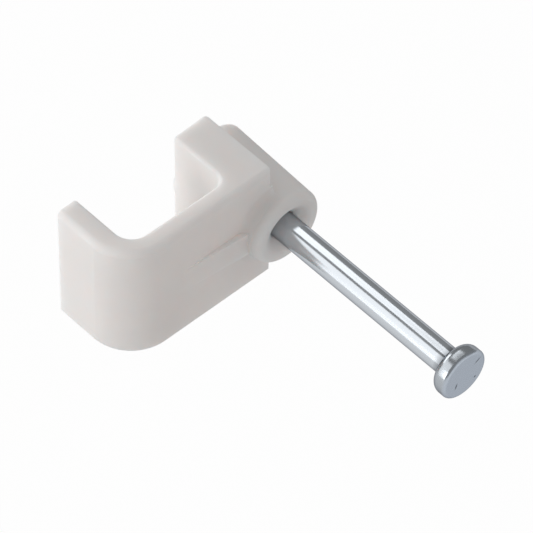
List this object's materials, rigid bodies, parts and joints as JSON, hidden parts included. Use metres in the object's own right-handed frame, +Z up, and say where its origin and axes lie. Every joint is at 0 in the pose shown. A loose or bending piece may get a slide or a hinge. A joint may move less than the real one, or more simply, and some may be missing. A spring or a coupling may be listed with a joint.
{
  "type": "nail-in cable clip",
  "caption": "Moulded U-shaped clip that straddles a flat cable, with a boss on one leg carrying a flat-headed steel nail that is driven into the wall to hold it.",
  "frame": {"origin": "on the nail's axis, in the plane of the wall that the clip is fixed to", "axes": "+X across the cable from the plain leg to the nail, +Y into the wall along the nail, +Z up along the cable"},
  "size_m": [0.0162, 0.0246, 0.01],
  "materials": {
    "white_plastic": "moulded white polypropylene, slightly translucent, satin",
    "zinc_steel": "bright zinc plated drawn wire"
  },
  "bodies": {
    "saddle": {"clip": "white_plastic"},
    "fixing": {"nail": "zinc_steel"}
  },
  "joints": [
    {"name": "nail_drive", "type": "slide", "parent": "saddle", "child": "fixing", "axis": [0, 1, 0], "range_m": [0, 0.0155]}
  ]
}
